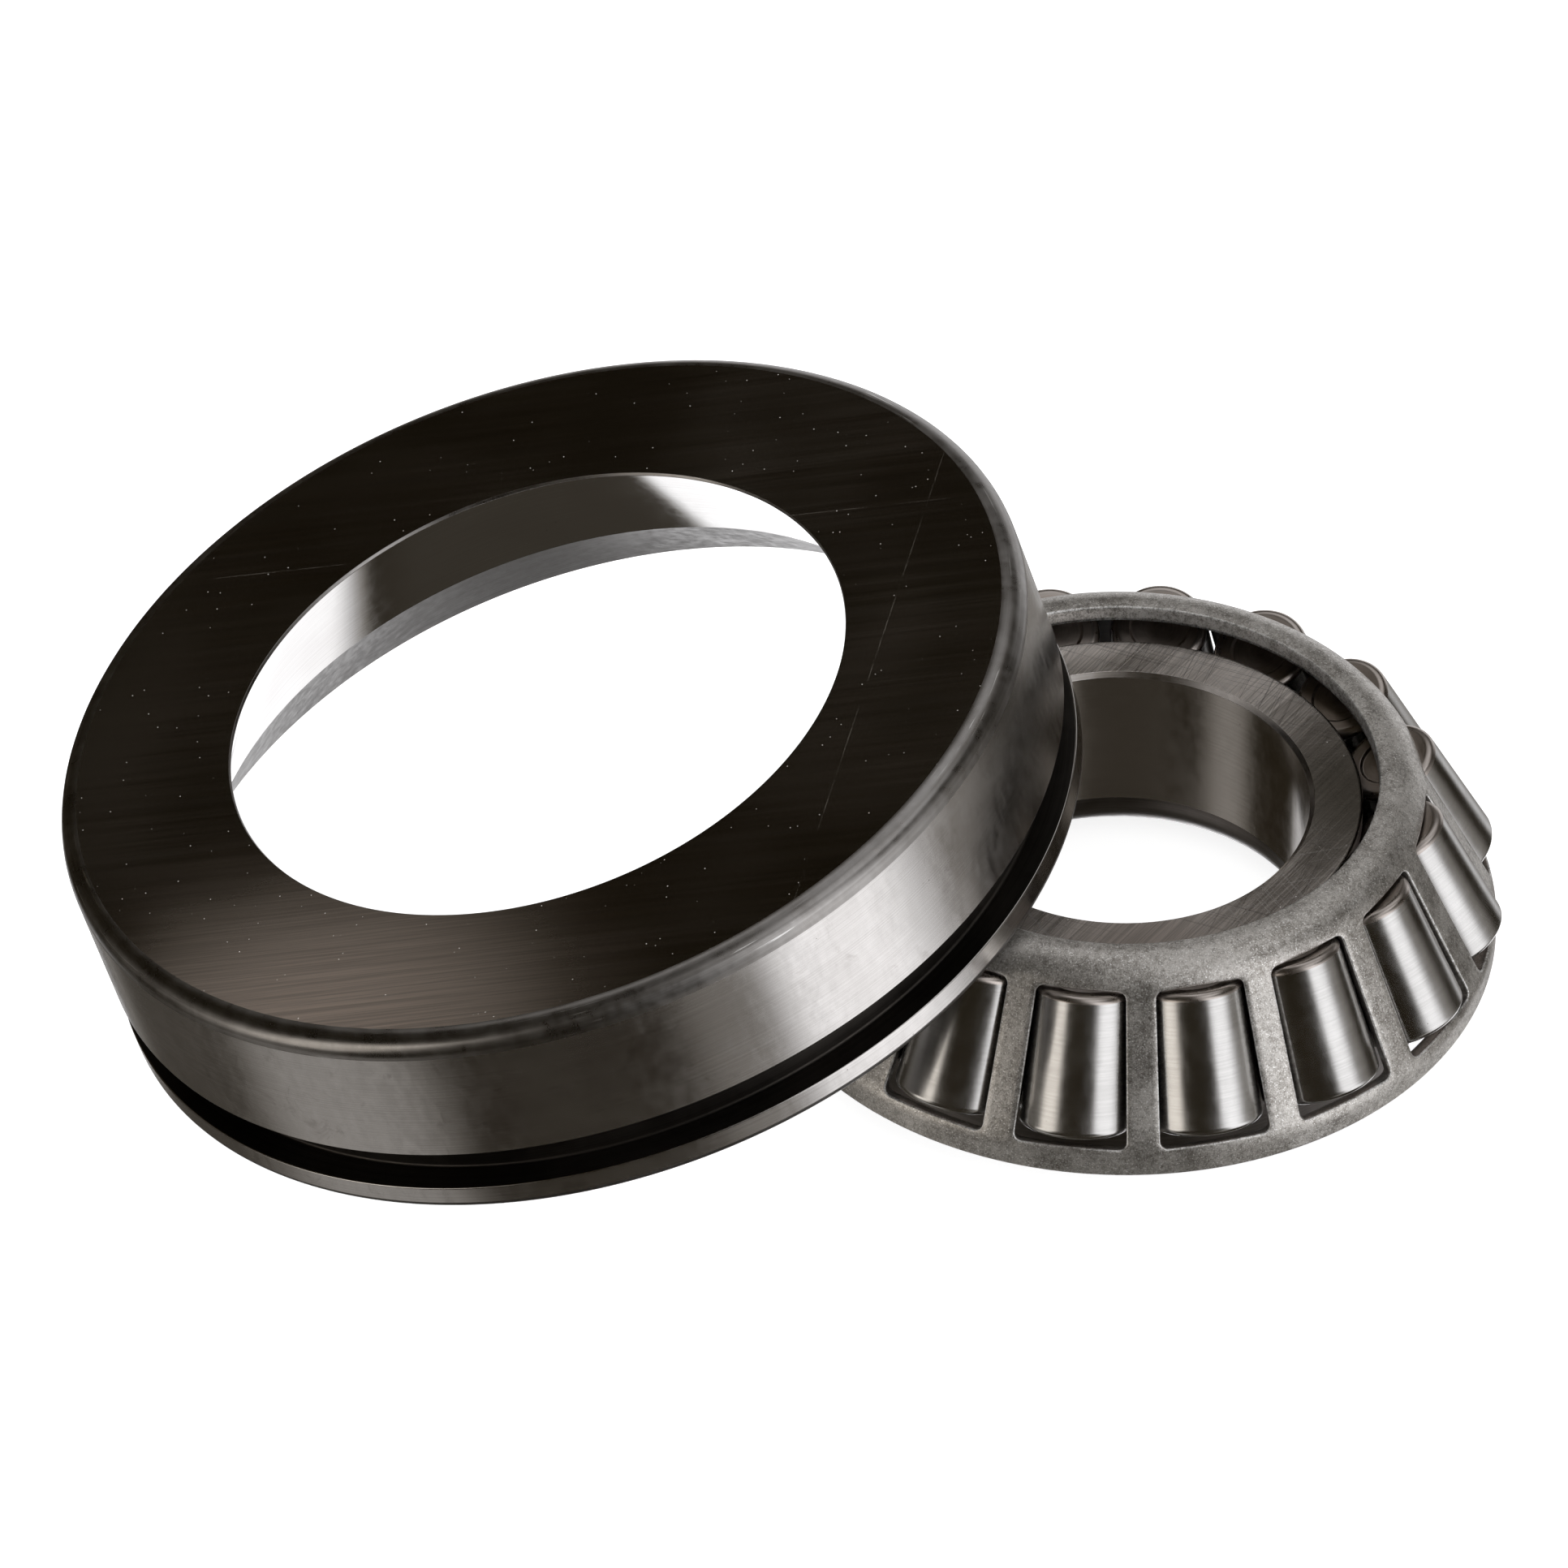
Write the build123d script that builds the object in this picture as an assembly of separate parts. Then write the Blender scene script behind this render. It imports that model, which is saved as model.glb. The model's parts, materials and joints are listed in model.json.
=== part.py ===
"""Single-row tapered roller bearing, lying open on a bench.

The cone (inner ring) stands on its wide back face with its cage and sixteen tapered
rollers round it. The cup (outer ring) is off, and leans on the top of the cage with
its other side on the bench.

Frame: the origin is the centre of the cone's bore at half its width, +Z is the bore
axis towards the small end, and the cup leans in the XZ plane from the -X side.
The functions below measure heights from the bench, which is the cone's back face, and
build() then lowers every piece by half the cone's width.
All lengths are in millimetres and all angles in degrees.
"""
from build123d import *
from math import cos, radians, sin, tan
import os

# ---- Cone (inner ring) ----
BORE_RADIUS = 20.0
CONE_WIDTH = 23.5
BACK_CORNER = 6.0          # large rounding where the bore meets the back face
BORE_CHAMFER = 0.5         # at the small end
SMALL_RIB_RADIUS = 25.65
LARGE_RIB_RADIUS = 33.6
RIB_EDGE = 0.4             # rounding of the rib corners
UNDERCUT_DEPTH = 0.3       # relief grooves at both ends of the cone's race
UNDERCUT_WIDTH = 0.9

# ---- Rollers and races: all generators meet at one apex on the bearing axis ----
ROLLER_COUNT = 16
FIRST_ROLLER_AZIMUTH = -98.6
CUP_RACE_ANGLE = 27.5      # half-angle of the cup's race
ROLLER_HALF_ANGLE = 4.0    # half-angle of one roller
ROLLER_MID_HEIGHT = 15.45  # height of a roller's middle above the back face
ENVELOPE_RADIUS = 38.86    # outside of the roller set at that height
ROLLER_LENGTH = 15.6
ROLLER_CORNER = 0.8
ROLLER_DIMPLE_RADIUS = 3.0  # shallow turned recess in both end faces
ROLLER_DIMPLE_DEPTH = 0.25
RACE_CLEARANCE = 0.02      # between a roller and each race
LARGE_RIB_CLEARANCE = 0.25
SMALL_RIB_CLEARANCE = 0.3

# ---- Cage (pressed sheet steel) ----
SHEET = 1.8
LIP_RADIUS = 27.35         # inner edge of the turned-in lip
LIP_HEIGHT = 26.7
LIP_BEND = 4.5             # outside bend radius between lip and wall
RIM_RADIUS = 40.25         # short straight rim at the large end
RIM_HEIGHT = 5.35
RIM_BEND = 4.0
WALL_ANGLE = 26.5          # half-angle of the conical wall
WALL_RADIUS = 36.2         # outside of the wall at the middle of a pocket
WALL_HEIGHT = 16.45
POCKET_TO_LIP = 8.75       # pocket's middle to its small end, along the wall
POCKET_TO_RIM = 8.5        # pocket's middle to its large end
POCKET_HALF_SMALL = 4.72
POCKET_HALF_LARGE = 6.03
POCKET_CORNER = 0.9
POCKET_COINING = 0.15      # room pressed round each roller in the bars

# ---- Cup (outer ring), measured from its back face ----
CUP_RADIUS = 53.5
CUP_WIDTH = 24.2
CUP_BORE_RADIUS = 33.9     # small end of the race, at the back face
CUP_BORE_CHAMFER = 0.3
CUP_CORNER = 2.2           # rounding of the back face's outer corner
RACE_DEPTH = 14.85         # axial length of the race
FRONT_BORE_RADIUS = 48.6   # wide mouth at the front face
GROOVE_START = 16.4        # snap-ring groove in the outside
GROOVE_WIDTH = 4.8
GROOVE_FLOOR_RADIUS = 50.2
GROOVE_CORNER = 0.3
FRONT_EDGE = 0.9           # rounding of the front face's outer edge

# ---- The lean of the cup against the cage ----
LEAN_ANGLE = 16.55
CUP_FRONT_OFFSET = 55.4    # cone axis to the centre of the cup's front face

# ---- Derived roller geometry ----
ROLLER_ANGLE = CUP_RACE_ANGLE - ROLLER_HALF_ANGLE
APEX_HEIGHT = ROLLER_MID_HEIGHT + ENVELOPE_RADIUS / tan(radians(CUP_RACE_ANGLE))
APEX_DISTANCE = (APEX_HEIGHT - ROLLER_MID_HEIGHT) / cos(radians(ROLLER_ANGLE))
ROLLER_MID_RADIUS = APEX_DISTANCE * sin(radians(ROLLER_ANGLE))
HALF_LENGTH = ROLLER_LENGTH / 2


def race_offset(station):
    """Distance from a roller's axis to either race, at a station along the roller.

    Stations run from the roller's middle, positive towards its small end.
    """
    return (APEX_DISTANCE - station) * tan(radians(ROLLER_HALF_ANGLE))


def beside_roller(station, offset):
    """Radius and height of a point beside a roller; offset is positive outwards."""
    tilt = radians(ROLLER_ANGLE)
    radius = ROLLER_MID_RADIUS - station * sin(tilt) + offset * cos(tilt)
    height = ROLLER_MID_HEIGHT + station * cos(tilt) + offset * sin(tilt)
    return radius, height


def end_plane_height(station, radius):
    """Height, at a radius, of the plane square to the roller's axis at a station."""
    tilt = radians(ROLLER_ANGLE)
    start_radius, start_height = beside_roller(station, 0)
    return start_height + (radius - start_radius) * tan(tilt)


def turned(outline):
    """Solid of revolution about Z; the outline lists radius, height and rounding."""
    section = make_face(Polyline([(r, 0, z) for r, z, _ in outline], close=True)).face()
    for r, z, rounding in outline:
        if rounding:
            corner = section.vertices().sort_by_distance((r, 0, z))[0]
            section = section.fillet_2d(rounding, [corner])
    return revolve(section, Axis.Z, 360).solid()


def cone_ring():
    """The inner ring: bore, two ribs and the race between them."""
    large_shoulder = -HALF_LENGTH - LARGE_RIB_CLEARANCE
    small_shoulder = HALF_LENGTH + SMALL_RIB_CLEARANCE
    large_relief = UNDERCUT_WIDTH - HALF_LENGTH
    small_relief = HALF_LENGTH - UNDERCUT_WIDTH

    def race(station, depth=0.0):
        return (*beside_roller(station, -race_offset(station) - depth), 0)

    outline = [
        (BORE_RADIUS, 0, BACK_CORNER),
        (LARGE_RIB_RADIUS, 0, RIB_EDGE),
        (LARGE_RIB_RADIUS, end_plane_height(large_shoulder, LARGE_RIB_RADIUS), RIB_EDGE),
        race(large_shoulder, UNDERCUT_DEPTH),
        race(large_relief, UNDERCUT_DEPTH),
        race(large_relief + UNDERCUT_DEPTH),
        race(small_relief - UNDERCUT_DEPTH),
        race(small_relief, UNDERCUT_DEPTH),
        race(small_shoulder, UNDERCUT_DEPTH),
        (SMALL_RIB_RADIUS, end_plane_height(small_shoulder, SMALL_RIB_RADIUS), 0),
        (SMALL_RIB_RADIUS, CONE_WIDTH, RIB_EDGE),
        (BORE_RADIUS + BORE_CHAMFER, CONE_WIDTH, 0),
        (BORE_RADIUS, CONE_WIDTH - BORE_CHAMFER, 0),
    ]
    return turned(outline)


def roller_solid(growth=0.0, plain=False):
    """One roller on its own axis, small end up; growth makes an oversize copy."""
    small = race_offset(HALF_LENGTH) - RACE_CLEARANCE + growth
    large = race_offset(-HALF_LENGTH) - RACE_CLEARANCE + growth
    if plain:
        return Cone(large, small, ROLLER_LENGTH).solid()
    floor = HALF_LENGTH - ROLLER_DIMPLE_DEPTH
    wall = ROLLER_DIMPLE_RADIUS + ROLLER_DIMPLE_DEPTH
    outline = [
        (0, -floor, 0),
        (ROLLER_DIMPLE_RADIUS, -floor, 0),
        (wall, -HALF_LENGTH, 0),
        (large, -HALF_LENGTH, ROLLER_CORNER),
        (small, HALF_LENGTH, ROLLER_CORNER),
        (wall, HALF_LENGTH, 0),
        (ROLLER_DIMPLE_RADIUS, floor, 0),
        (0, floor, 0),
    ]
    return turned(outline)


def roller_place(index):
    """Location of a roller's middle, with its axis leaning in towards the apex."""
    azimuth = FIRST_ROLLER_AZIMUTH + index * 360 / ROLLER_COUNT
    middle = Pos(ROLLER_MID_RADIUS, 0, ROLLER_MID_HEIGHT)
    return Rot(0, 0, azimuth) * middle * Rot(0, -ROLLER_ANGLE, 0)


def cage_blank():
    """The pressed cup of sheet, before its pockets: lip, conical wall and rim."""
    slope = tan(radians(WALL_ANGLE))
    skin = SHEET / cos(radians(WALL_ANGLE))

    def wall_radius(height, inset=0.0):
        return WALL_RADIUS - inset + (WALL_HEIGHT - height) * slope

    def wall_height(radius, inset=0.0):
        return WALL_HEIGHT - (radius - WALL_RADIUS + inset) / slope

    under_lip = LIP_HEIGHT - SHEET
    inside_rim = RIM_RADIUS - SHEET
    outline = [
        (LIP_RADIUS, LIP_HEIGHT, 0),
        (wall_radius(LIP_HEIGHT), LIP_HEIGHT, LIP_BEND),
        (RIM_RADIUS, wall_height(RIM_RADIUS), RIM_BEND),
        (RIM_RADIUS, RIM_HEIGHT, 0),
        (inside_rim, RIM_HEIGHT, 0),
        (inside_rim, wall_height(inside_rim, skin), RIM_BEND - SHEET),
        (wall_radius(under_lip, skin), under_lip, LIP_BEND - SHEET),
        (LIP_RADIUS, under_lip, 0),
    ]
    return turned(outline)


def pocket_cutter():
    """Punch for the pocket at azimuth 0, square to the cage's wall."""
    slope = radians(WALL_ANGLE)
    middle = Vector(WALL_RADIUS, 0, WALL_HEIGHT)
    punch = Plane(middle, x_dir=(sin(slope), 0, -cos(slope)), z_dir=(cos(slope), 0, sin(slope)))
    window = make_face(Polyline([
        (-POCKET_TO_LIP, -POCKET_HALF_SMALL),
        (POCKET_TO_RIM, -POCKET_HALF_LARGE),
        (POCKET_TO_RIM, POCKET_HALF_LARGE),
        (-POCKET_TO_LIP, POCKET_HALF_SMALL),
    ], close=True)).face()
    window = window.fillet_2d(POCKET_CORNER, window.vertices())
    return extrude(punch * window, amount=2.5 * SHEET, both=True).solid()


def cage_ring():
    """The cage with one pocket for each roller."""
    cage = cage_blank()
    punch = pocket_cutter()
    coin = roller_solid(POCKET_COINING, plain=True)
    for index in range(ROLLER_COUNT):
        azimuth = FIRST_ROLLER_AZIMUTH + index * 360 / ROLLER_COUNT
        cage = cage - Rot(0, 0, azimuth) * punch - roller_place(index) * coin
    return cage.solid()


def cup_ring():
    """The outer ring, back face up at height 0 and its axis on Z."""
    slope = tan(radians(CUP_RACE_ANGLE))
    groove_end = GROOVE_START + GROOVE_WIDTH
    outline = [
        (CUP_BORE_RADIUS + CUP_BORE_CHAMFER * slope, -CUP_BORE_CHAMFER, 0),
        (CUP_BORE_RADIUS + CUP_BORE_CHAMFER, 0, 0),
        (CUP_RADIUS, 0, CUP_CORNER),
        (CUP_RADIUS, -GROOVE_START, 0),
        (GROOVE_FLOOR_RADIUS, -GROOVE_START, GROOVE_CORNER),
        (GROOVE_FLOOR_RADIUS, -groove_end, GROOVE_CORNER),
        (CUP_RADIUS, -groove_end, 0),
        (CUP_RADIUS, -CUP_WIDTH, FRONT_EDGE),
        (FRONT_BORE_RADIUS, -CUP_WIDTH, 0),
        (CUP_BORE_RADIUS + RACE_DEPTH * slope, -RACE_DEPTH, 0),
    ]
    return turned(outline)


def cup_place():
    """Location of the cup's back face when the cup leans with its edge on the bench."""
    lean = radians(LEAN_ANGLE)
    edge_radius = CUP_RADIUS - FRONT_EDGE
    edge_depth = CUP_WIDTH - FRONT_EDGE
    height = FRONT_EDGE + edge_depth * cos(lean) + edge_radius * sin(lean)
    back = -CUP_FRONT_OFFSET - CUP_WIDTH * sin(lean)
    return Pos(back, 0, height) * Rot(0, -LEAN_ANGLE, 0)


def build():
    """Every piece of the bearing, by node name, with the origin at the bore's centre."""
    to_origin = Pos(0, 0, -CONE_WIDTH / 2)
    nodes = {"cone": to_origin * cone_ring(), "cage": to_origin * cage_ring()}
    roller = roller_solid()
    for index in range(ROLLER_COUNT):
        nodes[f"roller_{index + 1:02d}"] = to_origin * roller_place(index) * roller
    nodes["cup"] = to_origin * cup_place() * cup_ring()
    return nodes


os.makedirs("parts", exist_ok=True)
for node, shape in build().items():
    shape.label = node
    export_step(shape, f"parts/{node}.step")
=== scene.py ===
import json
import math
import random

import bmesh
import bpy
from mathutils import Matrix, Vector


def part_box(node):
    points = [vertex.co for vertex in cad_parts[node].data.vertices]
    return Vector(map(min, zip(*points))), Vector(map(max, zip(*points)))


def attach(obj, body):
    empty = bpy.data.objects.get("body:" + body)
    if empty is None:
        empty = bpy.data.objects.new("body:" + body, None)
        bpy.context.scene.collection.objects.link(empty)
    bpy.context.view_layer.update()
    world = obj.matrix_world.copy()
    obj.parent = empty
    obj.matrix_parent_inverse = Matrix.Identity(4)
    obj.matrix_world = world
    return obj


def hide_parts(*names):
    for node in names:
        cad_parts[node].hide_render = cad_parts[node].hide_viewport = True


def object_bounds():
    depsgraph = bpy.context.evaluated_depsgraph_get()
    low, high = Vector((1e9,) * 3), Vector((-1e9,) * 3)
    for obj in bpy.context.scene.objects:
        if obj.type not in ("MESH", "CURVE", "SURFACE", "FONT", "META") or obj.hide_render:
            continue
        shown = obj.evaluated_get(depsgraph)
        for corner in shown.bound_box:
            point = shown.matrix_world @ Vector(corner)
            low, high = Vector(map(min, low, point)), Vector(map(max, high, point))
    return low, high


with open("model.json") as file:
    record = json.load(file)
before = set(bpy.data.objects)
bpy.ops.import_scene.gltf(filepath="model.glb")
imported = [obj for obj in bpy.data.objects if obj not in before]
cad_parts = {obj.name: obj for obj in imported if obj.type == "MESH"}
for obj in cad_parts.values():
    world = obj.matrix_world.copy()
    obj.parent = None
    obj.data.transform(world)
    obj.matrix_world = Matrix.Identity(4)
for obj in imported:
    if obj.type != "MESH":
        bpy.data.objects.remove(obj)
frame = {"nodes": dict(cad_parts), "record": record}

CAD_BOX = [list(corner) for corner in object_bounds()]
MM = 0.001
RECORD = frame["record"]
FLOOR_Z = CAD_BOX[0][2]
JOINTS = {joint["name"]: joint for joint in RECORD["behaviour"]["joints"]}
MOUNTS = {mount["name"]: mount for mount in RECORD["mounts"]}
RING_TURN = 2.4      # units of noise per radian round the axis
RING_UV_HEIGHT = 40  # mm for one unit of the ring map's V


# ---------------------------------------------------------------- shader helpers
def link(tree, socket, value):
    """Sets an input from another node's output, or from a plain value."""
    if isinstance(value, bpy.types.NodeSocket):
        tree.links.new(value, socket)
    elif hasattr(value, "outputs"):
        tree.links.new(value.outputs[0], socket)
    else:
        socket.default_value = value


def add(tree, kind, inputs=None, **settings):
    """Adds a node, with its settings and inputs by name or number."""
    made = tree.nodes.new("ShaderNode" + kind)
    for key, value in settings.items():
        setattr(made, key, value)
    for key, value in (inputs or {}).items():
        link(tree, made.inputs[key], value)
    return made


def maths(tree, operation, *values, clamp=False):
    made = tree.nodes.new("ShaderNodeMath")
    made.operation = operation
    made.use_clamp = clamp
    for socket, value in zip(made.inputs, values):
        link(tree, socket, value)
    return made.outputs[0]


def weighted(tree, *parts):
    """Sum of values, each given with its weight."""
    products = [maths(tree, "MULTIPLY", value, weight) for value, weight in parts]
    total = products[0]
    for product in products[1:]:
        total = maths(tree, "ADD", total, product)
    return total


def ramp(tree, value, low, high, to_low=0.0, to_high=1.0, smooth=True):
    """Maps value from low..high to to_low..to_high, held outside it."""
    made = add(tree, "MapRange", {"Value": value, "From Min": low, "From Max": high,
                                  "To Min": to_low, "To Max": to_high})
    made.interpolation_type = "SMOOTHSTEP" if smooth else "LINEAR"
    return made.outputs["Result"]


def mix_colour(tree, factor, a, b, blend="MIX"):
    made = tree.nodes.new("ShaderNodeMix")
    made.data_type = "RGBA"
    made.blend_type = blend
    link(tree, made.inputs[0], factor)
    link(tree, made.inputs[6], a)
    link(tree, made.inputs[7], b)
    return made.outputs[2]


def rgb(r, g, b):
    return (r, g, b, 1.0)


def scaled(tree, vector, x, y, z):
    return add(tree, "VectorMath", {0: vector, 1: (x, y, z)}, operation="MULTIPLY").outputs[0]


def turned_vector(tree, vector, degrees):
    """The vector turned about Z."""
    made = add(tree, "VectorRotate", {"Vector": vector, "Angle": math.radians(degrees)})
    made.rotation_type = "Z_AXIS"
    return made.outputs[0]


def noise(tree, vector, scale, detail=2.0, rough=0.5, distortion=0.0):
    return add(tree, "TexNoise", {"Vector": vector, "Scale": scale, "Detail": detail,
                                  "Roughness": rough, "Distortion": distortion}).outputs["Fac"]


def bump(tree, height, distance):
    return add(tree, "Bump", {"Height": height, "Distance": distance, "Strength": 1.0}).outputs[0]


def new_material(name):
    material = bpy.data.materials.new(name)
    material.use_nodes = True
    tree = material.node_tree
    tree.nodes.clear()
    return material, tree


def finish_metal(tree, colour, roughness, normal, anisotropy=0.0, metallic=1.0):
    shader = add(tree, "BsdfPrincipled", {"Base Color": colour, "Metallic": metallic,
                                          "Roughness": roughness, "Normal": normal,
                                          "Anisotropic": anisotropy})
    if anisotropy:
        link(tree, shader.inputs["Tangent"], add(tree, "Tangent", direction_type="UV_MAP", uv_map="ring"))
    add(tree, "OutputMaterial", {"Surface": shader})


def millimetres(tree):
    """The piece's own coordinates in millimetres, with its axis on Z."""
    return add(tree, "Attribute", attribute_name="own_mm").outputs["Vector"]


def ring_vector(tree, place):
    """(radius, height, slow turn): noise in it draws lines round the axis."""
    x, y, z = add(tree, "SeparateXYZ", {0: place}).outputs
    radius = maths(tree, "SQRT", weighted(tree, (x, x), (y, y)))
    turn = maths(tree, "MULTIPLY", maths(tree, "ARCTAN2", y, x), RING_TURN)
    return add(tree, "CombineXYZ", {0: radius, 1: z, 2: turn}).outputs[0]


def specks(tree, place, scale, size, rarity=0.62):
    """Small scattered dots, 1 inside a dot."""
    cell = add(tree, "TexVoronoi", {"Vector": place, "Scale": scale, "Randomness": 1.0})
    near = ramp(tree, cell.outputs["Distance"], size, size * 0.5)
    chosen = ramp(tree, noise(tree, place, scale * 0.9, 0.0), rarity, rarity + 0.04)
    return maths(tree, "MULTIPLY", near, chosen)


def scratch_lines(tree, place, angle, spacing, threshold):
    """Sparse long straight scratches across a face, 1 on a line."""
    turned = turned_vector(tree, place, angle)
    bent = scaled(tree, turned, 1 / spacing, 0.012, 1.0)
    return ramp(tree, noise(tree, bent, 3.0, 1.0), threshold, threshold + 0.02)


# ---------------------------------------------------------------- materials
def ground_face(name, dark, light, angle, line_scale, rough_low, rough_high, patch_scale, lines=0.006,
                crossing=(), dull=(), hairlines=()):
    """A flat face ground with long near-parallel lines.

    dull: (x, y, reach, colour, roughness) of round spots with their own colour and roughness; on the cup
    face the spot's light colour is a painted sheen.
    hairlines: (angle, distance from the axis) of single broken scratches.
    """
    material, tree = new_material(name)
    place = millimetres(tree)
    turned = turned_vector(tree, place, angle)
    fine = noise(tree, scaled(tree, turned, line_scale, line_scale * 0.012, 1.0), 1.0, 4.0, 0.65, 0.2)
    coarse = noise(tree, scaled(tree, turned, line_scale * 0.3, line_scale * 0.006, 1.0), 1.0, 2.0, 0.5, 0.3)
    patch = noise(tree, place, patch_scale, 2.0, 0.5)
    height = maths(tree, "ADD", fine, maths(tree, "MULTIPLY", coarse, 0.8))
    shade = weighted(tree, (fine, 0.6), (patch, 0.4))
    colour = mix_colour(tree, ramp(tree, shade, 0.35, 0.65), dark, light)
    for k, turn in enumerate(crossing):
        line = scratch_lines(tree, place, turn, 0.28 + 0.05 * k, 0.64)
        height = maths(tree, "SUBTRACT", height, maths(tree, "MULTIPLY", line, 0.9))
        mark = rgb(0.7, 0.68, 0.66) if k % 2 else rgb(0.12, 0.1, 0.09)
        colour = mix_colour(tree, maths(tree, "MULTIPLY", line, 0.45), colour, mark)
    wear = weighted(tree, (patch, 0.7), (coarse, 0.3))
    rough = ramp(tree, wear, 0.35, 0.65, rough_low, rough_high)
    # Each dull spot gets its own colour and roughness; on the cup face its light colour is a painted sheen.
    for x, y, reach, spot_colour, spot_rough in dull:
        flat = scaled(tree, place, 1, 1, 0)
        away = add(tree, "VectorMath", {0: flat, 1: (x, y, 0)}, operation="DISTANCE").outputs["Value"]
        ragged = maths(tree, "MULTIPLY", maths(tree, "SUBTRACT", fine, 0.5), reach * 0.12)
        share = ramp(tree, maths(tree, "ADD", away, ragged), reach, reach * 0.1)
        spot_dark = rgb(*(0.7 * channel for channel in spot_colour[:3]))
        tint = mix_colour(tree, ramp(tree, fine, 0.35, 0.65), spot_dark, spot_colour)
        colour = mix_colour(tree, share, colour, tint)
        rough = ramp(tree, share, 0.0, 1.0, rough, spot_rough)
        height = maths(tree, "MULTIPLY", height, ramp(tree, share, 0.0, 1.0, 1.0, 0.7))
    dust = specks(tree, place, 1.0, 0.075, 0.52)
    for turn, offset in hairlines:
        across = add(tree, "SeparateXYZ", {0: turned_vector(tree, place, turn)}).outputs[0]
        near = ramp(tree, maths(tree, "ABSOLUTE", maths(tree, "SUBTRACT", across, offset)), 0.07, 0.02)
        broken = ramp(tree, noise(tree, place, 0.12, 3.0, 0.8), 0.42, 0.62)
        faint = maths(tree, "MULTIPLY", maths(tree, "MULTIPLY", near, broken), 0.12)
        dust = maths(tree, "MAXIMUM", dust, faint)
    colour = mix_colour(tree, dust, colour, rgb(0.5, 0.48, 0.46))
    finish_metal(tree, colour, rough, bump(tree, height, lines * MM), 0.35,
                 metallic=maths(tree, "SUBTRACT", 1.0, dust))
    return material


def turned_steel(name, dark, light, rough_low, rough_high, lines=0.002, line_scale=6.0, cloud=0.05,
                 cloud_scale=0.05, anisotropy=0.4, stains=0.0, nicks=0.0, dots=True):
    """Ground or honed surface of revolution: fine lines round the axis and faint clouds."""
    material, tree = new_material(name)
    place = millimetres(tree)
    ring = ring_vector(tree, place)
    fine = noise(tree, scaled(tree, ring, line_scale, line_scale, 0.35), 1.0, 3.0, 0.6)
    clouds = noise(tree, place, cloud_scale, 3.0, 0.55, 0.4)
    small = noise(tree, scaled(tree, place, 1.0, 1.0, 0.5), 0.9, 3.0, 0.6)
    height = maths(tree, "ADD", fine, maths(tree, "MULTIPLY", clouds, cloud))
    shade = weighted(tree, (clouds, 0.6), (fine, 0.4))
    colour = mix_colour(tree, ramp(tree, shade, 0.35, 0.65), dark, light)
    if stains:
        stain = ramp(tree, noise(tree, place, 0.22, 4.0, 0.7, 1.0), 0.56, 0.72)
        colour = mix_colour(tree, maths(tree, "MULTIPLY", stain, stains), colour, rgb(0.16, 0.13, 0.11))
    if nicks:
        nick = ramp(tree, noise(tree, scaled(tree, ring, 3.2, 3.2, 2.4), 1.0, 2.0, 0.6), 0.64, 0.70)
        where = ramp(tree, noise(tree, place, 0.07, 1.0), 0.48, 0.6)
        nick = maths(tree, "MULTIPLY", nick, where)
        height = maths(tree, "SUBTRACT", height, maths(tree, "MULTIPLY", nick, 0.5))
        colour = mix_colour(tree, maths(tree, "MULTIPLY", nick, nicks), colour, rgb(0.8, 0.79, 0.77))
    if dots:
        colour = mix_colour(tree, specks(tree, place, 0.7, 0.06), colour, rgb(0.08, 0.07, 0.06))
    wear = weighted(tree, (clouds, 0.5), (small, 0.5))
    rough = ramp(tree, wear, 0.35, 0.65, rough_low, rough_high)
    finish_metal(tree, colour, rough, bump(tree, height, lines * MM), anisotropy)
    return material


def pressed_sheet(name, dark, light, torn=0.0, glint=0.8):
    """Tumbled pressed steel with a fine sparkling grain; torn is the coarseness of a sheared edge."""
    material, tree = new_material(name)
    place = millimetres(tree)
    grain = noise(tree, place, 5.0, 3.0, 0.7)
    pits = noise(tree, place, 1.6, 2.0, 0.6)
    waves = noise(tree, place, 0.25, 2.0, 0.5)
    height = maths(tree, "ADD", grain, maths(tree, "MULTIPLY", pits, 0.9))
    if torn:
        tear = noise(tree, scaled(tree, place, 4.0, 4.0, 0.5), 1.0, 3.0, 0.7)
        height = maths(tree, "ADD", height, maths(tree, "MULTIPLY", tear, torn))
    # sparkle: near-white specks in the colour, painted glints of the tumbled grain
    sparkle = ramp(tree, noise(tree, place, 6.0, 2.0, 0.6), 0.58, 0.68)
    shade = weighted(tree, (grain, 0.45), (pits, 0.3), (waves, 0.25))
    colour = mix_colour(tree, ramp(tree, shade, 0.36, 0.62), dark, light)
    colour = mix_colour(tree, maths(tree, "MULTIPLY", sparkle, glint), colour, rgb(0.95, 0.94, 0.92))
    wear = weighted(tree, (waves, 0.5), (grain, 0.5))
    rough = ramp(tree, wear, 0.35, 0.65, 0.28, 0.46)
    finish_metal(tree, colour, rough, bump(tree, height, 0.024 * MM), metallic=0.91)
    return material


# ---------------------------------------------------------------- mesh helpers
STRAIGHT = 3.14          # from this angle on, in radians, an outline runs straight through a point
LEAST_ROUNDING = 0.06    # mm, on every corner
GUARD = 0.04             # mm from a rounding to its close points


def fillet(before, corner, after, radius, steps):
    """Points of the arc that rounds a corner of an outline."""
    a = Vector(before[:2]) - Vector(corner[:2])
    b = Vector(after[:2]) - Vector(corner[:2])
    half = a.angle(b) / 2
    reach = min(radius / math.tan(half), a.length * 0.9, b.length * 0.9)
    radius = reach * math.tan(half)
    a.normalize()
    b.normalize()
    centre = Vector(corner[:2]) + (a + b).normalized() * (radius / math.sin(half))
    start = Vector(corner[:2]) + a * reach - centre
    end = b * reach + Vector(corner[:2]) - centre
    sweep = math.copysign(math.pi - 2 * half, start.x * end.y - start.y * end.x)
    return [centre + Matrix.Rotation(sweep * k / steps, 2) @ start for k in range(steps + 1)]


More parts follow.
